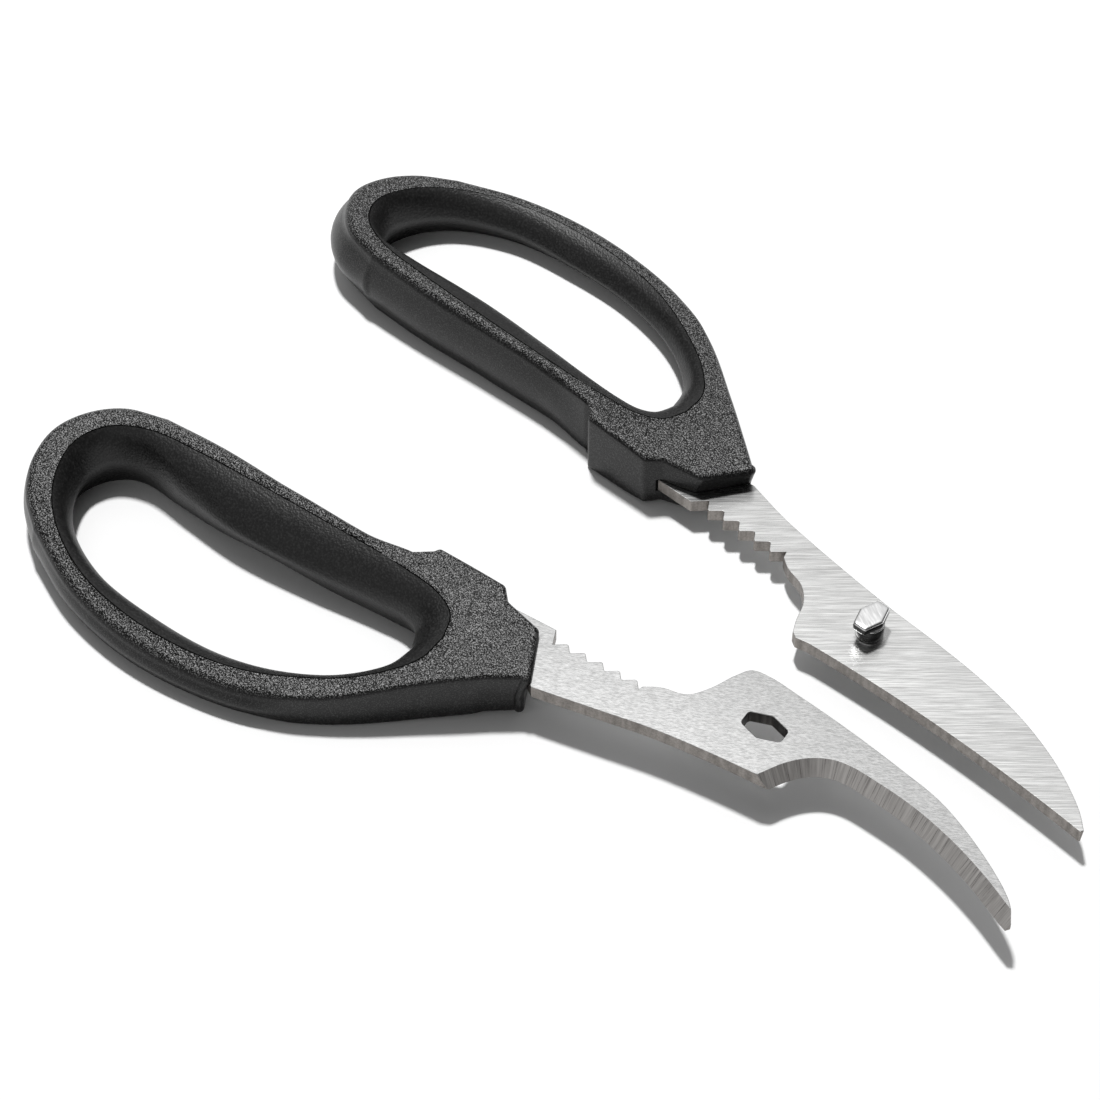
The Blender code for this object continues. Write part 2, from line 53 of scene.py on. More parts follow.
# Plates
PLATE = 3.0
PIN_PLATE_Z = 4.3
HOOK_PLATE_Z = PIN_PLATE_Z + PLATE + GAP
TANG_END = -58.2
TANG_STEP = -55.2              # where the tooth side of the shank steps in to the tang
TANG_SIDES = (4.6, 12.6)
SLOT_PLAY = 0.12               # air over and under the plate in the handle's slot
TOOTH_COUNT = 6                # recesses in a row
PIN_TOOTH = dict(first=-44.2, pitch=3.95, crest=2.8, root=5.0, lead=2.5)
HOOK_TOOTH = dict(first=-43.0, pitch=3.81, crest=3.6, root=5.3, lead=1.4)
TOOTH_CREST_RADIUS, TOOTH_RECESS_RADIUS = 0.5, 0.4
TIP = 57.0
BEVEL = 2.2                    # width of the ground edge across the plate
TIP_BEVEL = 0.3                # what it narrows to at the pin blade's tip
TAPER_LENGTH = 24.0            # over this length
HOOK_EDGE_BEYOND = (57.9, 14.0)  # where the hook's ground edge runs on to, past the tip
PIN_EDGE_STEPS = 14            # points to each span of the pin blade's edge
BREAK = 0.11                   # rounding of the plates' edges

# Pivot
HEAD_LENGTH, HEAD_WIDTH, HEAD_FLAT = 7.8, 5.5, 2.9
HOLE_LENGTH, HOLE_WIDTH, HOLE_FLAT = 8.4, 5.9, 3.0
HEAD_Z = HOOK_PLATE_Z + PLATE + GAP
HEAD_HEIGHT = 1.8
HEAD_CORNER, HOLE_CORNER = 0.6, 0.9
CORE_RADIUS = 1.7
COLLAR_INNER, COLLAR_OUTER = 1.75, 2.75
COLLAR_EASE = 0.18
RIVET_RADIUS, RIVET_FOOT = 2.2, 3.4

# Handles: heights, slopes, and places along the half frame's x
TOP_AT_PIVOT, TOP_ALONG, TOP_ACROSS = 12.5, -0.036, -0.165
NOSE_TOP, NOSE_ALONG, NOSE_MIDDLE = 13.8, -0.06, -66.0
NOSE_START, NOSE_END = -74.0, -41.5
NOSE_DRAFT, DRAFT_START, DRAFT_REACH = 1.3, -52.0, 6.0  # how far the nose's end stands back below
NOSE_SLANT, SLANT_START, SLANT_REACH = 0.34, 7.0, 6.0   # share of that which goes sideways, by y
UNDERCUT_START = -66.0         # where the underside starts to rise towards the nose
CRISP_START, CRISP_END = -86.0, -76.0  # where the rounded edges turn crisp towards the nose
PIN_NOSE_RISE, HOOK_NOSE_RISE = 2.0, 1.2
PIN_NOSE_CORNER, HOOK_NOSE_CORNER = (-38.3, 16.1), (-40.2, 17.4)
EDGE, NOSE_EDGE = 2.1, 1.0     # radius of the rounded edges
BULGE, CORNER_BULGE = 0.7, 2.6
BULGE_MIDDLE = 0.55            # share of the wall's height where it swells most
CORNER_START, CORNER_REACH = -112.0, 32.0
GRIP_FOOT = 2.5                # how far the liner's lower edge stands back from its waist
SEAM_GAP = 0.14                # visible gap between shell and liner
SEAM_LIP = 0.10                # easing of both sides of that gap
CLEARANCE = 0.02               # how far the outside stays within the part's own box
STATIONS = 900                 # points round a handle
GRIP_STATIONS = 520


# ---------------------------------------------------------------- curves

def smoothstep(value):
    value = min(max(value, 0.0), 1.0)
    return value * value * (3.0 - 2.0 * value)


def arc_through(start, middle, end, steps):
    """Points on the circle through three points, from start up to but not including end."""
    (ax, ay), (bx, by), (cx, cy) = start, middle, end
    twice = 2.0 * (ax * (by - cy) + bx * (cy - ay) + cx * (ay - by))
    a2, b2, c2 = ax * ax + ay * ay, bx * bx + by * by, cx * cx + cy * cy
    ux = (a2 * (by - cy) + b2 * (cy - ay) + c2 * (ay - by)) / twice
    uy = (a2 * (cx - bx) + b2 * (ax - cx) + c2 * (bx - ax)) / twice
    first = math.atan2(ay - uy, ax - ux)
    mid = math.atan2(by - uy, bx - ux)
    last = math.atan2(cy - uy, cx - ux)
    turn = (last - first) % math.tau
    if (mid - first) % math.tau > turn:
        turn -= math.tau
    radius = math.hypot(ax - ux, ay - uy)
    angles = [first + turn * step / steps for step in range(steps)]
    return [(ux + radius * math.cos(angle), uy + radius * math.sin(angle)) for angle in angles]


def smooth_curve(points, per_span):
    """Centripetal Catmull-Rom curve through points in any dimension, ends included."""
    padded = [2 * np.array(points[0]) - np.array(points[1]), *map(np.array, points)]
    padded.append(2 * np.array(points[-1]) - np.array(points[-2]))
    curve = []
    for p0, p1, p2, p3 in zip(padded, padded[1:], padded[2:], padded[3:]):
        t1 = max(np.linalg.norm(p1 - p0), 1e-6) ** 0.5
        t2 = t1 + max(np.linalg.norm(p2 - p1), 1e-6) ** 0.5
        t3 = t2 + max(np.linalg.norm(p3 - p2), 1e-6) ** 0.5
        for step in range(per_span):
            t = t1 + (t2 - t1) * step / per_span
            a1 = (t1 - t) / t1 * p0 + t / t1 * p1
            a2 = (t2 - t) / (t2 - t1) * p1 + (t - t1) / (t2 - t1) * p2
            a3 = (t3 - t) / (t3 - t2) * p2 + (t - t2) / (t3 - t2) * p3
            b1 = (t2 - t) / t2 * a1 + t / t2 * a2
            b2 = (t3 - t) / (t3 - t1) * a2 + (t - t1) / (t3 - t1) * a3
            point = (t2 - t) / (t2 - t1) * b1 + (t - t1) / (t2 - t1) * b2
            curve.append(tuple(float(value) for value in point))
    curve.append(tuple(float(value) for value in points[-1]))
    return curve


def rounded_polygon(corners, steps=4):
    """Closed outline from (x, y, radius) corners, each corner an arc."""
    outline = []
    count = len(corners)
    for index, (x, y, radius) in enumerate(corners):
        here = Vector((x, y))
        back = (Vector(corners[index - 1][:2]) - here).normalized()
        ahead = (Vector(corners[(index + 1) % count][:2]) - here).normalized()
        half = back.angle(ahead) / 2
        if radius <= 0.0 or half > math.radians(88):
            outline.append((x, y))
            continue
        reach = radius / math.tan(half)
        centre = here + (back + ahead).normalized() * radius / math.sin(half)
        start = here + back * reach - centre
        sweep = start.angle_signed(here + ahead * reach - centre)
        for step in range(steps + 1):
            spoke = Matrix.Rotation(-sweep * step / steps, 2) @ start
            outline.append((centre.x + spoke.x, centre.y + spoke.y))
    return outline


def resample(points, count):
    """Closed outline as evenly spaced points, from its first point."""
    ring = np.array(points + [points[0]])
    lengths = np.concatenate(([0.0], np.cumsum(np.linalg.norm(np.diff(ring, axis=0), axis=1))))
    marks = np.linspace(0.0, lengths[-1], count, endpoint=False)
    return np.column_stack([np.interp(marks, lengths, ring[:, axis]) for axis in (0, 1)])


def normals_of(points):
    """Unit sideways directions of a closed outline, outwards for a clockwise one."""
    points = np.asarray(points)
    run = np.roll(points, -1, axis=0) - np.roll(points, 1, axis=0)
    run /= np.linalg.norm(run, axis=1)[:, None]
    return np.column_stack([-run[:, 1], run[:, 0]])


def blurred(values, passes):
    """Values round a ring, each averaged with its neighbours a number of times."""
    for _ in range(passes):
        values = (np.roll(values, 1, axis=0) + 2.0 * values + np.roll(values, -1, axis=0)) / 4.0
    return values


def circle(radius, count=96):
    return [(radius * math.cos(math.tau * k / count), radius * math.sin(math.tau * k / count))
            for k in range(count)]


# ---------------------------------------------------------------- outlines

def handle_outline(nose_corner):
    """Outside of a handle, clockwise from the outer corner of its nose, seen from above."""
    straight = smooth_curve([(-76.0, 3.4), (-87.5, 4.2), (-103.0, 3.7), (-122.0, 2.7), (-136.0, 3.0)], 12)
    end = smooth_curve([(-136.0, 3.0), (-145.2, 5.4), (-151.4, 10.4), (-154.7, 16.9), (-154.0, 24.4),
                        (-150.2, 31.2), (-143.4, 37.0)], 12)
    loop = smooth_curve([(-143.4, 37.0), (-130.0, 43.6), (-115.0, 47.1), (-100.0, 47.3), (-85.0, 44.6),
                         (-72.0, 38.2), (-57.0, 26.7), (-48.2, 19.9)], 12)
    nose = rounded_polygon([(*nose_corner, 1.1), (-46.4, 4.7, 1.3), (-54.7, 2.8, 1.4),
                            (-57.1, GAP / 2, 1.1), (-72.2, GAP / 2, 1.1), (-74.3, 3.2, 1.6)], 8)
    return nose + straight[:-1] + end[:-1] + loop


def seam_outline():
    """Line on the top face between the hard shell and the soft liner, clockwise."""
    return smooth_curve([(-60.2, 16.5), (-62.0, 11.6), (-66.5, 8.9), (-75.0, 7.6), (-94.0, 6.9),
                         (-125.0, 6.8), (-137.0, 7.7), (-144.8, 11.3), (-148.4, 17.7), (-146.8, 25.6),
                         (-141.3, 32.9), (-130.5, 39.6), (-118.5, 42.8), (-104.0, 43.6), (-90.0, 41.6),
                         (-77.5, 36.4), (-67.5, 29.9), (-61.3, 22.8), (-60.2, 16.5)], 12)[:-1]


def opening_outline():
    """Narrowest line of the finger opening, at half height, clockwise."""
    return smooth_curve([(-66.4, 19.0), (-68.3, 14.6), (-72.5, 12.7), (-80.0, 12.8), (-96.0, 14.1),
                         (-112.0, 14.4), (-126.0, 12.5), (-136.6, 10.8), (-142.8, 12.8), (-145.4, 18.2),
                         (-143.7, 24.6), (-138.6, 30.8), (-127.0, 36.5), (-112.0, 38.4), (-97.0, 38.4),
                         (-84.0, 35.7), (-75.0, 31.3), (-68.4, 25.2), (-66.4, 19.0)], 12)[:-1]


def tooth_row(first, pitch, crest, root, lead):
    """Saw-tooth edge from the nose towards the pivot."""
    corners = []
    for number in range(TOOTH_COUNT):
        recess = first + number * pitch
        corners.append((recess, root, TOOTH_RECESS_RADIUS if number else 0.0))
        corners.append((recess + pitch - lead, crest, TOOTH_CREST_RADIUS))
    corners[-2] = (*corners[-2][:2], 0.0)
    return rounded_polygon(corners[:-1], 5)


def tang_outline(front, front_end):
    """Plate edge inside the handle, from the outer shank edge round to the tooth edge."""
    return [(-44.0, TANG_SIDES[1] + 1.2), (-46.0, TANG_SIDES[1]), (TANG_END, TANG_SIDES[1]),
            (TANG_END, TANG_SIDES[0]), (TANG_STEP, TANG_SIDES[0]), (TANG_STEP, front), (front_end, front)]


def pin_cutting_edge():
    """Convex edge of the wide blade, from its tip to its heel."""
    return smooth_curve([(TIP - 0.3, -9.9), (53.6, -6.9), (45.2, -1.6), (34.5, 2.7), (23.4, 5.2),
                         (11.7, 6.6), (0.4, 7.4)], PIN_EDGE_STEPS)


def pin_plate_outline():
    """Counter-clockwise from the tip along the convex cutting edge, shank, tang, teeth and spine."""
    shank = smooth_curve([(0.4, 7.4), (-9.5, 8.5), (-21.5, 10.1), (-30.5, 11.6), (-40.2, 14.1)], 8)[1:]
    teeth = tooth_row(**PIN_TOOTH)
    tang = tang_outline(2.4, PIN_TOOTH["first"] - PIN_TOOTH["lead"])
    shoulder = smooth_curve([(-24.0, 3.6), (-21.6, 2.0), (-17.0, 0.4), (-14.0, -2.6), (-12.3, -6.8),
                             (-10.9, -9.6)], 10)
    spine = arc_through((-7.0, -9.8), (20.0, -8.8), (TIP - 0.9, -10.5), 28)
    heel = [(-9.6, -10.4), (-8.2, -10.1)]
    return pin_cutting_edge() + shank + tang + teeth + shoulder + heel + spine + [(TIP - 0.6, -10.55)]


def hook_cutting_edge():
    """Concave edge of the hooked blade, from its heel to its tip."""
    return smooth_curve([(7.0, 9.7), (8.7, 6.7), (11.2, 3.8), (14.0, 2.0), (17.0, 1.3), (23.1, 1.7),
                         (31.0, 2.9), (39.4, 5.3), (47.5, 8.6), (54.8, 12.4)], 9)


def hook_plate_outline():
    """Clockwise in the half frame from the tip along the back, teeth, tang and shank to the edge."""
    back = smooth_curve([(TIP + 0.2, 12.4), (54.9, 9.1), (47.0, 3.2), (35.4, -2.8), (25.4, -5.4),
                         (12.2, -8.1), (2.0, -9.7), (-5.2, -10.6), (-8.7, -10.1), (-10.7, -7.2),
                         (-13.0, -2.2), (-15.8, 1.4), (-20.7, 2.7), (-23.6, 4.4)], 9)
    teeth = tooth_row(**HOOK_TOOTH)[::-1]
    tang = tang_outline(2.0, HOOK_TOOTH["first"] - HOOK_TOOTH["lead"])[::-1]
    shank = smooth_curve([(-40.8, 16.0), (-28.0, 13.7), (-17.3, 11.8), (-5.1, 10.6), (6.4, 10.0)], 9)
    return back + teeth + tang + shank + hook_cutting_edge() + [(TIP - 0.4, 13.2)]


def long_hexagon(length, width, flat, along_x, radius):
    """Hexagon stretched along one axis, with flats of the given size at its two ends."""
    corners = [(length / 2, flat / 2), (0.0, width / 2), (-length / 2, flat / 2),
               (-length / 2, -flat / 2), (0.0, -width / 2), (length / 2, -flat / 2)]
    if along_x:
        return [(x, y, radius) for x, y in corners]
    return [(-y, x, radius) for x, y in corners]


# ---------------------------------------------------------------- meshes

def object_from_bmesh(name, shape):
    bmesh.ops.recalc_face_normals(shape, faces=shape.faces)
    mesh = bpy.data.meshes.new(name)
    shape.to_mesh(mesh)
    shape.free()
    made = bpy.data.objects.new(name, mesh)
    bpy.context.scene.collection.objects.link(made)
    return made


def loft(name, sections, ring=False):
    """Skin over equal-sized closed sections, capped at both ends or joined into a ring."""
    shape = bmesh.new()
    rows = [[shape.verts.new(Vector(point) * MM) for point in section] for section in sections]
    count, size = len(rows), len(rows[0])
    for index in range(count if ring else count - 1):
        here, there = rows[index], rows[(index + 1) % count]
        for side in range(size):
            following = (side + 1) % size
            shape.faces.new((here[side], here[following], there[following], there[side]))
    if not ring:
        shape.faces.new(rows[0])
        shape.faces.new(rows[-1])
    return object_from_bmesh(name, shape)


def inset_ring(points, distance):
    """Closed outline moved inwards by a distance, keeping its corners mitred."""
    points = np.asarray(points, dtype=float)
    area = np.sum(points[:, 0] * np.roll(points[:, 1], -1) - np.roll(points[:, 0], -1) * points[:, 1])
    side = math.copysign(1.0, area)
    ahead = np.roll(points, -1, axis=0) - points
    ahead /= np.linalg.norm(ahead, axis=1)[:, None]
    behind = np.roll(ahead, 1, axis=0)
    into = np.column_stack([-ahead[:, 1], ahead[:, 0]]) * side
    past = np.column_stack([-behind[:, 1], behind[:, 0]]) * side
    mitre = into + past
    mitre /= np.maximum(np.sum(mitre * into, axis=1), 0.45)[:, None]
    return points + mitre * distance


def tidied(outline):
    """Outline without doubled points."""
    kept = [outline[0]]
    for point in outline[1:]:
        if math.dist(point, kept[-1]) > 0.02:
            kept.append(point)
    if math.dist(kept[0], kept[-1]) < 0.02:
        kept.pop()
    return kept


def plate_object(name, outline, z, height, ease):
    """Plate with its upper and lower edges eased all round."""
    outline = tidied(outline)
    steps = ((ease, 0.0), (0.3 * ease, 0.3 * ease), (0.0, ease)) if ease else ((0.0, 0.0),)
    levels = [(inset, z + rise) for inset, rise in steps]
    levels += [(inset, z + height - rise) for inset, rise in reversed(steps)]
    return loft(name, [[(x, y, level) for x, y in inset_ring(outline, inset)] for inset, level in levels])


def punch(name, outline, z, height, ease):
    """Cutter for a hole whose rims are eased."""
    flare = 0.6
    levels = [(-flare, z - flare + ease), (-ease, z), (0.0, z + ease), (0.0, z + height - ease),
              (-ease, z + height), (-flare, z + height + flare - ease)]
    return loft(name, [[(x, y, level) for x, y in inset_ring(outline, inset)] for inset, level in levels])


def apply_modifier(target, modifier):
    bpy.context.view_layer.objects.active = target
    bpy.ops.object.modifier_apply(modifier=modifier.name)


def boolean(target, cutter, operation="DIFFERENCE"):
    modifier = target.modifiers.new(operation.title(), "BOOLEAN")
    modifier.operation = operation
    modifier.solver = "EXACT"
    modifier.object = cutter
    apply_modifier(target, modifier)
    bpy.data.objects.remove(cutter)


def smooth(target, angle):
    target.data.polygons.foreach_set("use_smooth", [True] * len(target.data.polygons))
    target.data.set_sharp_from_angle(angle=math.radians(angle))


def run_on(path, reach):
    """Path carried straight on past both of its ends."""
    first, second, before, last = (Vector(path[index]) for index in (0, 1, -2, -1))
    start = first + (first - second).normalized() * reach
    end = last + (last - before).normalized() * reach
    return [tuple(start), *path, tuple(end)]


def edge_cutter(name, path, inward, z_edge, z_face, widths):
    """Wedge along a path that grinds a plate from its edge level up or down to its face level."""
    sections = []
    beyond = 1.4               # the sloping face runs on past both edges of the bevel
    clear = 3.0                # and the wedge stands this far out past the plate
    rise = z_face - z_edge
    path = run_on(path, 2.0)
    for index, ((x, y), width) in enumerate(zip(path, [widths[0], *widths, widths[-1]])):
        ahead = path[min(index + 1, len(path) - 1)]
        behind = path[max(index - 1, 0)]
        run = Vector((ahead[0] - behind[0], ahead[1] - behind[1])).normalized()
        nx, ny = -run.y * inward, run.x * inward
        inner, outer = width * beyond, -width * (beyond - 1.0)
        far = outer - clear
        low, high = z_edge - rise * (beyond - 1.0), z_edge + rise * beyond
        sections.append([(x + nx * outer, y + ny * outer, low), (x + nx * inner, y + ny * inner, high),
                         (x + nx * far, y + ny * far, high), (x + nx * far, y + ny * far, low)])
    return loft(name, sections)


# ---------------------------------------------------------------- handles

def nose_share(x):
    return smoothstep((x - NOSE_START) / (NOSE_END - NOSE_START))


def top_height(x, y):
    slanted = TOP_AT_PIVOT + TOP_ALONG * x + TOP_ACROSS * y
    share = nose_share(x)
    nose = NOSE_TOP + NOSE_ALONG * (x - NOSE_MIDDLE)
    return slanted * (1.0 - share) + nose * share


def bottom_height(x, rise):
    return rise * smoothstep((x - UNDERCUT_START) / (NOSE_END - UNDERCUT_START))


def matched(outline, anchor):
    """Outline point facing each station of the anchor ring, found by walking both rings together."""
    outline = resample(outline, 4 * len(anchor))
    centre = np.mean(anchor, axis=0)
    angles = np.unwrap(np.arctan2(*(outline - centre).T[::-1]))
    wanted = np.unwrap(np.arctan2(*(anchor - centre).T[::-1]))
    if angles[-1] > angles[0]:
        angles, outline = angles[::-1], outline[::-1]
    ladder = np.concatenate([angles + math.tau * k for k in (2, 1, 0, -1, -2)])
    tall = np.concatenate([outline] * 5)
    order = np.argsort(ladder)
    return np.column_stack([np.interp(wanted, ladder[order], tall[order, axis]) for axis in (0, 1)])


def shell_sections(rise, nose_corner):
    """Cross-sections round the hard shell: seam wall, top face, rounded edge, barrelled wall, foot."""
    outer = resample(handle_outline(nose_corner), STATIONS)
    outward = blurred(normals_of(outer), 2)
    outward /= np.linalg.norm(outward, axis=1)[:, None]
    outer = outer - outward * CLEARANCE
    seam = matched(seam_outline(), outer)
    seam = seam + normals_of(seam) * SEAM_GAP / 2
    sections = []
    for (ox, oy), (sx, sy), (nx, ny) in zip(outer, seam, outward):
        run = math.hypot(ox - sx, oy - sy)
        crisp = smoothstep((ox - CRISP_START) / (CRISP_END - CRISP_START))
        edge = min(EDGE + (NOSE_EDGE - EDGE) * crisp, 0.6 * run)
        corner = max(0.0, -0.8 * nx - 0.6 * ny) ** 2 * smoothstep((CORNER_START - ox) / CORNER_REACH)
        swell = BULGE * (1.0 - crisp) + CORNER_BULGE * corner
        lean = NOSE_DRAFT * smoothstep((ox - DRAFT_START) / DRAFT_REACH)
        aside = lean * NOSE_SLANT * smoothstep((oy - SLANT_START) / SLANT_REACH)
        top, bottom = top_height(ox, oy) - CLEARANCE, bottom_height(ox, rise)
        seam_top, seam_bottom = top_height(sx, sy), bottom_height(sx, rise)
        rx, ry = (ox - sx) / run, (oy - sy) / run
        lip, part = SEAM_LIP, 0.3 * SEAM_LIP
        section = [(sx + rx * lip, sy + ry * lip, seam_bottom), (sx, sy, seam_bottom + lip),
                   (sx, sy, seam_top - lip), (sx + rx * part, sy + ry * part, seam_top - part),
                   (sx + rx * lip, sy + ry * lip, seam_top)]
        ex, ey = ox - nx * edge, oy - ny * edge
        for share in (0.25, 0.5, 0.75):
            section.append((sx + (ex - sx) * share, sy + (ey - sy) * share,
                            seam_top + (top - seam_top) * share))
        for step in range(9):
            angle = math.pi / 2 * step / 8
            back = edge * (1.0 - math.sin(angle))
            section.append((ox - nx * back, oy - ny * back, top - edge * (1.0 - math.cos(angle))))
        tall = top - bottom - 2 * edge
        for step in range(1, 12):
            share = step / 12
            if share < BULGE_MIDDLE:
                out = math.sin(math.pi / 2 * share / BULGE_MIDDLE)
            else:
                out = math.cos(math.pi / 2 * (share - BULGE_MIDDLE) / (1.0 - BULGE_MIDDLE)) ** 0.8
            drawn = min(1.0, 1.8 * share)
            section.append((ox + nx * swell * out - lean * drawn, oy + ny * swell * out + aside * drawn,
                            top - edge - tall * share))
        for step in range(9):
            angle = math.pi / 2 * (1.0 - step / 8)
            back = edge * (1.0 - math.sin(angle))
            section.append((ox - nx * back - lean, oy - ny * back + aside,
                            bottom + edge * (1.0 - math.cos(angle))))
        sections.append(section)
    return sections


def grip_sections(rise):
    """Cross-sections round the soft liner: straight against the shell, swelling into the opening."""
    waist = resample(opening_outline(), GRIP_STATIONS)
    seam = matched(seam_outline(), waist)
    seam = seam - normals_of(seam) * SEAM_GAP / 2
    sections = []
    for (wx, wy), (sx, sy) in zip(waist, seam):
        run = math.hypot(sx - wx, sy - wy)
        ux, uy = (sx - wx) / run, (sy - wy) / run
        foot = min(GRIP_FOOT, 0.75 * run)
        top, bottom = top_height(sx, sy), bottom_height(sx, rise)
        middle = (top + bottom) / 2
        ease = SEAM_LIP
        profile = [(sx - ux * ease * 0.8, sy - uy * ease * 0.8, top)]
        for share, drop in ((0.26, 0.11), (0.52, 0.27), (0.76, 0.52), (0.93, 0.80)):
            profile.append((sx - ux * run * share, sy - uy * run * share, top - drop * (top - middle)))
        profile.append((wx, wy, middle))
        profile.append((wx + ux * foot * 0.35, wy + uy * foot * 0.35, bottom + 0.62 * (middle - bottom)))
        for share, drop in ((1.0, 0.30), (0.85, 0.16), (0.5, 0.06)):
            reach = (run - foot) * share
            profile.append((sx - ux * reach, sy - uy * reach, bottom + drop * (middle - bottom)))
        profile.append((sx - ux * ease, sy - uy * ease, bottom))
        rounded = smooth_curve(profile, 3)
        sections.append([(sx, sy, bottom + ease), (sx, sy, top - ease)] + rounded)
    return sections


# ---------------------------------------------------------------- materials

RANGE_SOCKETS = ("From Min", "From Max", "To Min", "To Max")


class Look:
    """A Principled material and short hands for wiring its nodes."""

    def __init__(self, name, colour, roughness, metallic=0.0):
        self.material = bpy.data.materials.new(name)
        self.material.use_nodes = True
        self.tree = self.material.node_tree
        self.shader = self.tree.nodes["Principled BSDF"]
        self.set("Base Color", (*colour, 1.0))
        self.set("Roughness", roughness)
        self.set("Metallic", metallic)
        self.place = self.node("ShaderNodeTexCoord").outputs["Object"]

    def set(self, socket, value):
        self.shader.inputs[socket].default_value = value

    def node(self, kind, **settings):
        made = self.tree.nodes.new(kind)
        for key, value in settings.items():
            setattr(made, key, value)
        return made

    def link(self, source, target):
        self.tree.links.new(source, target)

    def into(self, socket, source):
        self.link(source, self.shader.inputs[socket])

    def mapped(self, scale, rotation=(0.0, 0.0, 0.0), source=None):
        """Coordinates turned by rotation and then scaled."""
        turn = self.node("ShaderNodeVectorRotate", rotation_type="EULER_XYZ")
        turn.inputs["Rotation"].default_value = rotation
        self.link(source or self.place, turn.inputs["Vector"])
        stretch = self.node("ShaderNodeVectorMath", operation="MULTIPLY")
        stretch.inputs[1].default_value = scale
        self.link(turn.outputs["Vector"], stretch.inputs[0])
        return stretch.outputs["Vector"]

    def noise(self, vector, detail=2.0, roughness=0.5):
        made = self.node("ShaderNodeTexNoise", noise_dimensions="3D")
        made.inputs["Scale"].default_value = 1.0
        made.inputs["Detail"].default_value = detail
        made.inputs["Roughness"].default_value = roughness
        self.link(vector, made.inputs["Vector"])
        return made.outputs["Fac"]

    def ramp(self, source, low, high, to_low, to_high):
        made = self.node("ShaderNodeMapRange", clamp=True)
        for socket, value in zip(RANGE_SOCKETS, (low, high, to_low, to_high)):
            made.inputs[socket].default_value = value
        self.link(source, made.inputs["Value"])
        return made.outputs["Result"]

    def blend(self, share, first, second):
        made = self.node("ShaderNodeMix", data_type="RGBA")
        made.inputs["A"].default_value = (*first, 1.0)
        made.inputs["B"].default_value = (*second, 1.0)
        for socket in made.inputs:
            if socket.name == "Factor" and socket.type == "VALUE":
                self.link(share, socket)
                break
        return next(out for out in made.outputs if out.type == "RGBA")

    def math(self, operation, first, second):
        made = self.node("ShaderNodeMath", operation=operation)
        for socket, value in zip(made.inputs, (first, second)):
            if isinstance(value, (int, float)):
                socket.default_value = value
            else:
                self.link(value, socket)
        return made.outputs["Value"]

    def bump(self, height, distance, strength=1.0):
        made = self.node("ShaderNodeBump")
        made.inputs["Strength"].default_value = strength
        made.inputs["Distance"].default_value = distance
        self.link(height, made.inputs["Height"])
        return made.outputs["Normal"]


def shell_look():
    """Black moulded plastic with a spark-eroded grain, strongest on the upward faces, and painted glints:
    light specks in its colour on the upward faces only.
    """
    look = Look("shell_plastic", (0.005, 0.005, 0.005), 0.32)
    look.set("Specular IOR Level", 0.26)
    grain = look.noise(look.mapped((2300.0,) * 3), detail=1.0, roughness=0.6)
    specks = look.noise(look.mapped((4100.0,) * 3), detail=0.0)
    patches = look.noise(look.mapped((60.0,) * 3), detail=2.0)
    facing = look.node("ShaderNodeSeparateXYZ")
    look.link(look.node("ShaderNodeTexCoord").outputs["Normal"], facing.inputs[0])
    upward = look.ramp(facing.outputs["Z"], 0.55, 0.95, 0.15, 1.0)
    look.into("Normal", look.bump(look.math("MULTIPLY", grain, upward), 0.00026, 1.0))
    look.into("Roughness", look.ramp(patches, 0.3, 0.7, 0.29, 0.36))
    # Painted glints: specks lighter in colour, only on faces that look up, where the key light would
    # catch the grain.
    glints = look.math("MULTIPLY", look.ramp(specks, 0.53, 0.66, 0.0, 1.0), upward)
    look.into("Base Color", look.blend(glints, (0.002, 0.002, 0.002), (0.20, 0.20, 0.20)))
    return look.material


def grip_look():
    """Softer black liner, satin, with a much finer skin."""
    look = Look("soft_liner", (0.006, 0.006, 0.006), 0.46)
    look.set("Specular IOR Level", 0.42)
    grain = look.noise(look.mapped((2300.0,) * 3), detail=1.0)
    patches = look.noise(look.mapped((70.0,) * 3), detail=2.0)
    look.into("Normal", look.bump(grain, 0.00009, 1.0))
    look.into("Roughness", look.ramp(patches, 0.3, 0.7, 0.41, 0.50))
    look.into("Base Color", look.blend(look.ramp(grain, 0.45, 0.72, 0.0, 1.0), (0.004, 0.004, 0.004),
                                       (0.020, 0.020, 0.020)))
    return look.material


def brushed_look(name, angle, along, across, depth, base, contrast, rough, cloud):
    """Brushed steel: scratches along one direction, in cycles per metre along and across it.

    Cloud is the share of a broad soft tone, contrast how far both tones stray from the base colour.
    """
    look = Look(name, base, rough, 1.0)
    turned = (0.0, 0.0, math.radians(-angle))
    fine = look.noise(look.mapped((along, across, 60.0), turned), detail=3.0, roughness=0.65)
    coarse = look.noise(look.mapped((along * 0.5, across * 0.4, 30.0), turned), detail=2.0, roughness=0.5)
    broad = look.noise(look.mapped((22.0, 90.0, 10.0), turned), detail=2.0)
    streaks = look.math("ADD", look.math("MULTIPLY", fine, 0.65), look.math("MULTIPLY", coarse, 0.35))
    dark = tuple(value * (1.0 - contrast) for value in base)
    light = tuple(min(1.0, value * (1.0 + contrast)) for value in base)
    tone = look.math("ADD", look.math("MULTIPLY", streaks, 1.0 - cloud),
                     look.math("MULTIPLY", broad, cloud))
    look.into("Base Color", look.blend(look.ramp(tone, 0.36, 0.64, 0.0, 1.0), dark, light))
    look.into("Roughness", look.ramp(streaks, 0.35, 0.65, rough - 0.04, rough + 0.05))
    look.into("Normal", look.bump(streaks, depth, 0.6))
    return look.material


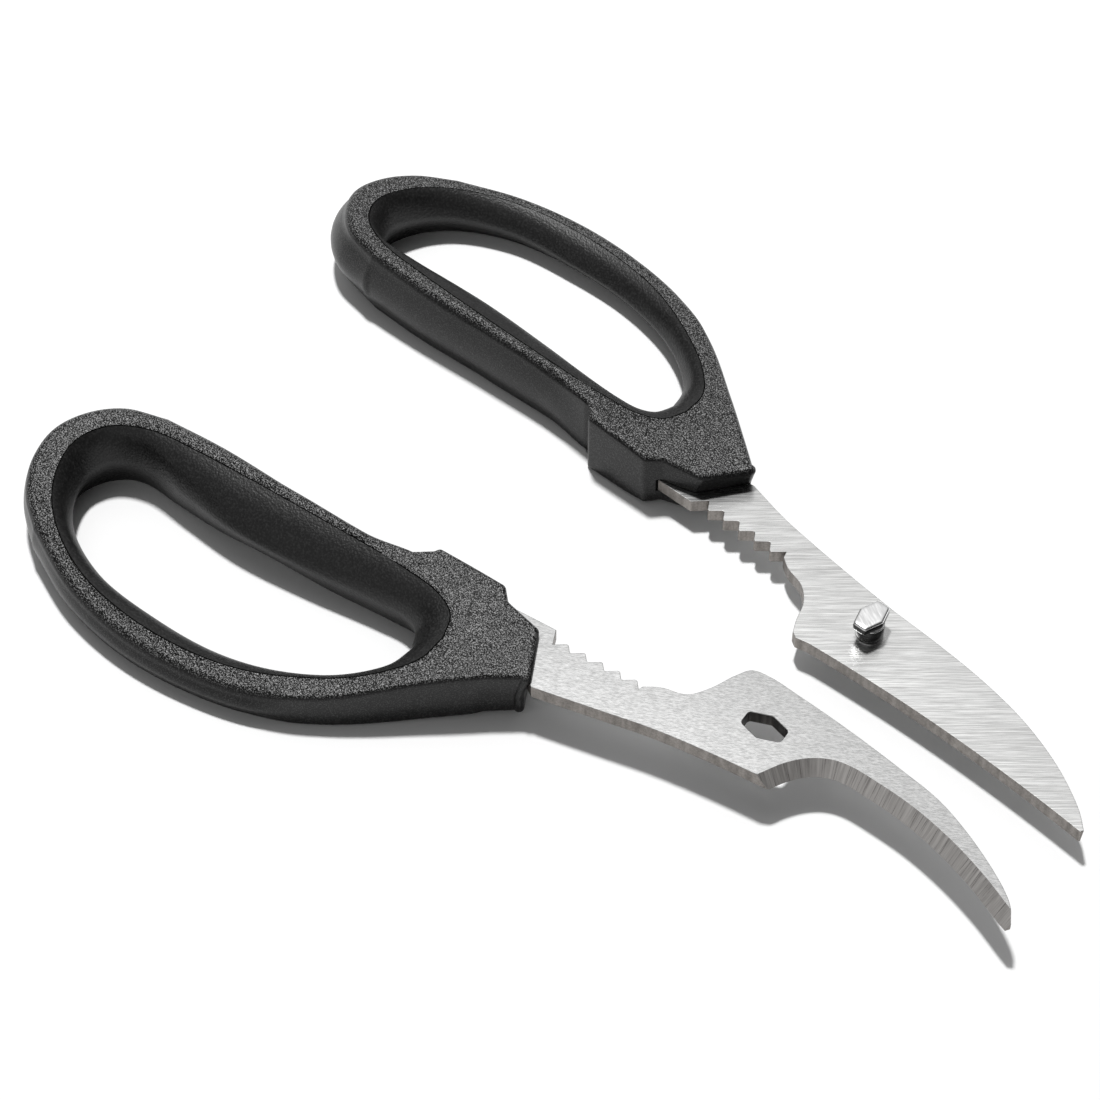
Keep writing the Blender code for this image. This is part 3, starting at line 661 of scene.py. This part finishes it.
def edge_shade_look():
    """Stamped plate edge: dull warm steel with faint lines down its height, its colour darker than the
    blade faces as painted shade for the shaded floor it reflects.
    """
    look = Look("blade_edge_painted_shade", (0.32, 0.30, 0.285), 0.44, 1.0)
    lines = look.noise(look.mapped((900.0, 900.0, 160.0)), detail=2.0)
    specks = look.noise(look.mapped((2600.0,) * 3), detail=1.0)
    tone = look.math("ADD", look.math("MULTIPLY", lines, 0.6), look.math("MULTIPLY", specks, 0.4))
    # Painted shade: the whole edge is coloured darker than the blade faces, in place of the shaded floor
    # it reflects.
    look.into("Base Color", look.blend(look.ramp(tone, 0.35, 0.65, 0.0, 1.0), (0.15, 0.138, 0.128),
                                       (0.30, 0.28, 0.262)))
    look.into("Normal", look.bump(tone, 0.00004, 0.6))
    return look.material


def ground_look():
    """Ground cutting edge, with grinding lines square to the edge."""
    look = Look("ground_edge", (0.80, 0.775, 0.76), 0.30, 0.45)
    along = look.node("ShaderNodeUVMap", uv_map="grind").outputs["UV"]
    fine = look.noise(look.mapped((4.6, 0.22, 0.0), source=along), detail=3.0, roughness=0.65)
    coarse = look.noise(look.mapped((1.6, 0.08, 0.0), source=along), detail=1.0)
    tone = look.math("ADD", look.math("MULTIPLY", fine, 0.6), look.math("MULTIPLY", coarse, 0.4))
    look.into("Base Color", look.blend(look.ramp(tone, 0.34, 0.66, 0.0, 1.0), (0.20, 0.19, 0.182),
                                       (0.52, 0.50, 0.485)))
    look.into("Roughness", look.ramp(tone, 0.3, 0.7, 0.24, 0.36))
    look.into("Normal", look.bump(tone, 0.00006, 0.7))
    return look.material


def hole_wall_shade_look():
    """Wall of a punched hole, with fine lines down its height; its dark colour is painted shade for the
    shaded floor under the plate that it reflects.
    """
    look = Look("hole_wall_painted_shade", (0.05, 0.048, 0.046), 0.36, 1.0)
    lines = look.noise(look.mapped((1500.0, 1500.0, 120.0)), detail=2.0)
    # Painted shade: dark colour in place of the shaded floor under the plate that the wall reflects.
    look.into("Base Color", look.blend(look.ramp(lines, 0.35, 0.65, 0.0, 1.0), (0.03, 0.028, 0.027),
                                       (0.085, 0.08, 0.076)))
    look.into("Normal", look.bump(lines, 0.00003, 0.5))
    return look.material


def polished_look():
    """Polished steel with shallow dents and a few hair scratches."""
    look = Look("polished_pin", (0.93, 0.93, 0.93), 0.22, 1.0)
    dents = look.noise(look.mapped((700.0,) * 3), detail=2.0)
    scratches = look.noise(look.mapped((300.0, 3000.0, 300.0), (0.0, 0.0, 0.5)), detail=1.0)
    look.into("Roughness", look.ramp(scratches, 0.3, 0.7, 0.18, 0.27))
    look.into("Normal", look.bump(dents, 0.00003, 0.5))
    return look.material


def pin_side_shade_look():
    """Turned sides of the pin, with faint rings: their colour far darker than its top as painted shade
    for the dark surroundings they reflect.
    """
    look = Look("pin_turning_painted_shade", (0.20, 0.20, 0.20), 0.20, 1.0)
    rings = look.noise(look.mapped((120.0, 120.0, 4200.0)), detail=2.0)
    # Painted shade: the sides are coloured much darker than the polished top, in place of the dark
    # surroundings they reflect.
    look.into("Base Color", look.blend(look.ramp(rings, 0.35, 0.65, 0.0, 1.0), (0.05, 0.05, 0.05),
                                       (0.20, 0.20, 0.20)))
    look.into("Roughness", look.ramp(rings, 0.3, 0.7, 0.15, 0.27))
    look.into("Normal", look.bump(rings, 0.00002, 0.5))
    return look.material


def floor_look():
    look = Look("floor", (0.86, 0.86, 0.86), 0.75)
    look.set("Specular IOR Level", 0.1)
    return look.material


# ---------------------------------------------------------------- pieces

def into_world(piece, hook):
    """Move a piece drawn in its half frame to its place, mirrored for the hook half."""
    x, y = PIVOT
    if hook:
        mirror = Matrix.Diagonal((1.0, -1.0, 1.0, 1.0))
        turn = Matrix.Rotation(math.radians(OPENING), 4, "Z")
        shift = Matrix.Translation(((x + HOOK_OFFSET[0]) * MM, (y + HOOK_OFFSET[1]) * MM, 0.0))
        place = shift @ turn @ mirror
    else:
        place = Matrix.Translation((x * MM, y * MM, 0.0))
    piece.data.transform(place)
    if hook:
        piece.data.flip_normals()


def finish_piece(piece, node, body, materials):
    for material in materials:
        piece.data.materials.append(material)
    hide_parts(node)
    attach(piece, body)


def build_handle(prefix, plate_z, rise, nose_corner, shell_material, grip_material):
    hook = prefix == "hook"
    shell = loft(prefix + "_shell", shell_sections(rise, nose_corner), ring=True)
    slot = [(TANG_END - GAP, TANG_SIDES[1] + GAP), (-46.4, TANG_SIDES[1] + GAP), (-38.0, 15.9),
            (-38.0, -2.0), (TANG_STEP - GAP, -2.0), (TANG_STEP - GAP, TANG_SIDES[0] - GAP),
            (TANG_END - GAP, TANG_SIDES[0] - GAP)]
    boolean(shell, plate_object("slot", slot, plate_z - SLOT_PLAY, PLATE + 2 * SLOT_PLAY, 0.0))
    grip = loft(prefix + "_liner", grip_sections(rise), ring=True)
    for piece, node, slot_name, material in (
            (shell, "_handle_shell", "textured_black_plastic", shell_material),
            (grip, "_handle_grip", "soft_black_liner", grip_material)):
        smooth(piece, 42)
        into_world(piece, hook)
        finish_piece(piece, prefix + node, prefix + "_half", [material])


FLAT_FACE, PLATE_SIDE, GROUND_EDGE, HOLE_WALL = 0, 1, 2, 3


def paint_plate(blade, path, down):
    """Give each face its material slot, and lay out grinding coordinates along and across the edge."""
    mesh = blade.data
    layer = mesh.uv_layers.new(name="grind")
    points = np.array(path)
    lengths = np.concatenate(([0.0], np.cumsum(np.linalg.norm(np.diff(points, axis=0), axis=1))))
    for face in mesh.polygons:
        slope = face.normal.z
        near = np.array([face.center.x, face.center.y]) / MM
        close = np.min(np.linalg.norm(points - near, axis=1)) < BEVEL * 1.3
        face.material_index = FLAT_FACE
        if abs(slope) > 0.985:
            continue
        if close and 0.2 < abs(slope) < 0.97 and (slope < 0) == down and face.area > 4e-8:
            face.material_index = GROUND_EDGE
        # Plate sides and hole walls take the darker painted-shade materials.
        elif abs(slope) < 0.5:
            face.material_index = HOLE_WALL if np.hypot(*near) < 5.0 else PLATE_SIDE
    for loop in mesh.loops:
        spot = np.array(mesh.vertices[loop.vertex_index].co[:2]) / MM
        nearest = int(np.argmin(np.linalg.norm(points - spot, axis=1)))
        span = points[min(nearest + 1, len(points) - 1)] - points[max(nearest - 1, 0)]
        span = span / np.linalg.norm(span)
        offset = spot - points[nearest]
        layer.data[loop.index].uv = (float(lengths[nearest] + offset @ span),
                                     float(offset @ np.array([-span[1], span[0]])))


def build_pin_blade(face_material, painted_shade_edges, ground_material, hole_wall_shade_material):
    blade = plate_object("pin_plate", pin_plate_outline(), PIN_PLATE_Z, PLATE, BREAK)
    boolean(blade, punch("bore", circle(RIVET_RADIUS + 0.06), PIN_PLATE_Z, PLATE, 0.05))
    path = pin_cutting_edge()[:-PIN_EDGE_STEPS]
    widths = [TIP_BEVEL + (BEVEL - TIP_BEVEL) * smoothstep((TIP - x) / TAPER_LENGTH) for x, _ in path]
    boolean(blade, edge_cutter("wedge", path, 1, PIN_PLATE_Z + PLATE, PIN_PLATE_Z, widths))
    paint_plate(blade, path, True)
    smooth(blade, 14)
    into_world(blade, False)
    finish_piece(blade, "pin_blade", "pin_half",
                 [face_material, painted_shade_edges, ground_material, hole_wall_shade_material])


def build_hook_blade(face_material, painted_shade_edges, ground_material, hole_wall_shade_material):
    hole = rounded_polygon(long_hexagon(HOLE_LENGTH, HOLE_WIDTH, HOLE_FLAT, True, HOLE_CORNER), 8)
    blade = plate_object("hook_plate", hook_plate_outline(), HOOK_PLATE_Z, PLATE, BREAK)
    boolean(blade, punch("hole", hole, HOOK_PLATE_Z, PLATE, BREAK))
    path = hook_cutting_edge() + [HOOK_EDGE_BEYOND]
    widths = [BEVEL] * len(path)
    boolean(blade, edge_cutter("wedge", path, -1, HOOK_PLATE_Z, HOOK_PLATE_Z + PLATE, widths))
    paint_plate(blade, path, False)
    smooth(blade, 14)
    into_world(blade, True)
    finish_piece(blade, "hook_blade", "hook_half",
                 [face_material, painted_shade_edges, ground_material, hole_wall_shade_material])


def turned(name, profile):
    """Solid of revolution about the pivot, from (radius, z) points along its axis."""
    sections = [[(radius * x, radius * y, z) for x, y in circle(1.0)] for radius, z in profile]
    return loft(name, sections)


def paint_turned(piece):
    """Slot 0 for the faces that look up or down, slot 1 for the sides, whose darker material is painted
    shade.
    """
    for face in piece.data.polygons:
        face.material_index = int(abs(face.normal.z) < 0.35)


def build_pin(material, painted_shade_edges):
    """Hexagonal head with rounded rim, round core, and a rivet whose foot spreads under the plate."""
    sections = []
    for inset, z in ((0.32, 0.0), (0.10, 0.07), (0.0, 0.24), (0.0, HEAD_HEIGHT - 0.62),
                     (0.05, HEAD_HEIGHT - 0.40), (0.17, HEAD_HEIGHT - 0.20), (0.36, HEAD_HEIGHT - 0.07),
                     (0.62, HEAD_HEIGHT - 0.015), (1.1, HEAD_HEIGHT)):
        outline = rounded_polygon(long_hexagon(HEAD_LENGTH - 2 * inset, HEAD_WIDTH - 2 * inset,
                                               HEAD_FLAT - inset, False, HEAD_CORNER), 6)
        sections.append([(x, y, HEAD_Z + z) for x, y in outline])
    pin = loft("pin", sections)
    base, top = PIN_PLATE_Z, PIN_PLATE_Z + PLATE
    profile = [(RIVET_FOOT - 0.35, base - 1.4), (RIVET_FOOT - 0.08, base - 1.28),
               (RIVET_FOOT, base - 1.05), (RIVET_FOOT - 0.05, base - 0.62),
               (RIVET_FOOT - 0.3, base - GAP), (RIVET_RADIUS, base - GAP),
               (RIVET_RADIUS, top - 0.05), (RIVET_RADIUS - 0.1, top),
               (CORE_RADIUS, top), (CORE_RADIUS, HEAD_Z + 0.5)]
    boolean(pin, turned("stem", profile), "UNION")
    smooth(pin, 38)
    paint_turned(pin)
    into_world(pin, False)
    finish_piece(pin, "pivot_pin", "pin_half", [material, painted_shade_edges])


def build_collar(material, painted_shade_edges):
    """Loose ring round the pin's core, its outer rims eased."""
    low, high = HOOK_PLATE_Z, HEAD_Z - GAP
    ease, part = COLLAR_EASE, 0.3 * COLLAR_EASE
    ring = [(COLLAR_INNER, low), (COLLAR_OUTER - ease, low), (COLLAR_OUTER - part, low + part),
            (COLLAR_OUTER, low + ease), (COLLAR_OUTER, high - ease),
            (COLLAR_OUTER - part, high - part), (COLLAR_OUTER - ease, high), (COLLAR_INNER, high)]
    sections = [[(radius * x, radius * y, z) for radius, z in ring] for x, y in circle(1.0)]
    collar = loft("collar", sections, ring=True)
    smooth(collar, 50)
    paint_turned(collar)
    into_world(collar, False)
    finish_piece(collar, "pivot_collar", "collar", [material, painted_shade_edges])


# ---------------------------------------------------------------- stage

CAMERA_AZIMUTH, CAMERA_ELEVATION = 42.54, 49.32
CAMERA_DISTANCE = 0.5547
SENSOR_WIDTH = 36.0
LENS = SENSOR_WIDTH * 2800.0 / 1100.0  # a focal length of 2800 pixels on an image of 1100
KEY_SIZE, KEY_POWER = 0.13, 17.0
AIM = (-62.9, -21.1)           # from the pivot to the point of the floor at the picture's centre


def build_camera():
    turn, rise = math.radians(CAMERA_AZIMUTH), math.radians(CAMERA_ELEVATION)
    aim = Vector(((PIVOT[0] + AIM[0]) * MM, (PIVOT[1] + AIM[1]) * MM, 0.0))
    back = Vector((math.sin(turn) * math.cos(rise), -math.cos(turn) * math.cos(rise), math.sin(rise)))
    data = bpy.data.cameras.new("camera")
    data.sensor_width = SENSOR_WIDTH
    data.lens = LENS
    data.clip_start = 0.01
    camera = bpy.data.objects.new("camera", data)
    camera.location = aim + back * CAMERA_DISTANCE
    camera.rotation_euler = back.to_track_quat("Z", "Y").to_euler()
    bpy.context.scene.collection.objects.link(camera)
    bpy.context.scene.camera = camera


def disk_light(name, place, size, energy):
    """Round area light that looks at the origin."""
    data = bpy.data.lights.new(name, "AREA")
    data.shape = "DISK"
    data.size = size
    data.energy = energy
    light = bpy.data.objects.new(name, data)
    light.location = place
    light.rotation_euler = Vector(place).to_track_quat("Z", "Y").to_euler()
    bpy.context.scene.collection.objects.link(light)


def picture_frame(right, away, up):
    """World position from metres to the picture's right, away from the viewer, and up."""
    turn = math.radians(CAMERA_AZIMUTH)
    return (right * math.cos(turn) - away * math.sin(turn),
            right * math.sin(turn) + away * math.cos(turn), up)


def build_stage():
    """Pale floor, one key light, and a world lighter high behind the object and at its front left."""
    shape = bmesh.new()
    bmesh.ops.create_grid(shape, x_segments=1, y_segments=1, size=6.0)
    floor = object_from_bmesh("floor", shape)
    floor.data.materials.append(floor_look())

    disk_light("key", picture_frame(-0.10, 0.36, 1.25), KEY_SIZE, KEY_POWER)

    world = bpy.data.worlds.new("studio")
    bpy.context.scene.world = world
    world.use_nodes = True
    nodes, links = world.node_tree.nodes, world.node_tree.links
    place = nodes.new("ShaderNodeTexCoord").outputs["Generated"]
    total = None
    for towards, start, full, base_level, peak in (
            (picture_frame(0.0, 0.62, 0.78), 0.55, 0.95, 0.045, 0.62),
            (picture_frame(-0.55, -0.78, 0.30), 0.55, 0.95, 0.0, 0.50)):
        direction = nodes.new("ShaderNodeVectorMath")
        direction.operation = "DOT_PRODUCT"
        links.new(place, direction.inputs[0])
        direction.inputs[1].default_value = Vector(towards).normalized()
        ramp = nodes.new("ShaderNodeMapRange")
        ramp.interpolation_type = "SMOOTHSTEP"
        for socket, value in zip(RANGE_SOCKETS, (start, full, base_level, peak)):
            ramp.inputs[socket].default_value = value
        links.new(direction.outputs["Value"], ramp.inputs["Value"])
        level = ramp.outputs["Result"]
        if total is not None:
            both = nodes.new("ShaderNodeMath")
            both.operation = "ADD"
            links.new(total, both.inputs[0])
            links.new(level, both.inputs[1])
            level = both.outputs["Value"]
        total = level
    links.new(total, nodes["Background"].inputs["Strength"])
    nodes["Background"].inputs["Color"].default_value = (1.0, 1.0, 1.0, 1.0)
    bpy.context.scene.view_settings.view_transform = "Standard"


# ---------------------------------------------------------------- build

# Directions of the brushing, in degrees from +X, fixed on the object. The pin blade's runs level
# across the photo, which is why it equals the camera's azimuth. No node reads the camera.
PIN_BRUSHING, HOOK_BRUSHING = CAMERA_AZIMUTH, 33.5

build_camera()
build_stage()

shell_material, grip_material = shell_look(), grip_look()
pin_face = brushed_look("pin_blade_face", PIN_BRUSHING, along=170.0, across=6500.0, depth=0.000006,
                        base=(0.60, 0.60, 0.595), contrast=0.13, rough=0.27, cloud=0.2)
hook_face = brushed_look("hook_blade_face", HOOK_BRUSHING, along=1500.0, across=8500.0, depth=0.000001,
                         base=(0.41, 0.41, 0.408), contrast=0.05, rough=0.27, cloud=0.04)
# punched holds the hole walls' dark material, which is painted shade.
painted_shade_edges, ground_material, punched = edge_shade_look(), ground_look(), hole_wall_shade_look()
polished, pin_turning_painted_shade = polished_look(), pin_side_shade_look()

build_handle("pin", PIN_PLATE_Z, PIN_NOSE_RISE, PIN_NOSE_CORNER, shell_material, grip_material)
build_handle("hook", HOOK_PLATE_Z, HOOK_NOSE_RISE, HOOK_NOSE_CORNER, shell_material, grip_material)
build_pin_blade(pin_face, painted_shade_edges, ground_material, punched)
build_hook_blade(hook_face, painted_shade_edges, ground_material, punched)
build_pin(polished, pin_turning_painted_shade)
build_collar(polished, pin_turning_painted_shade)
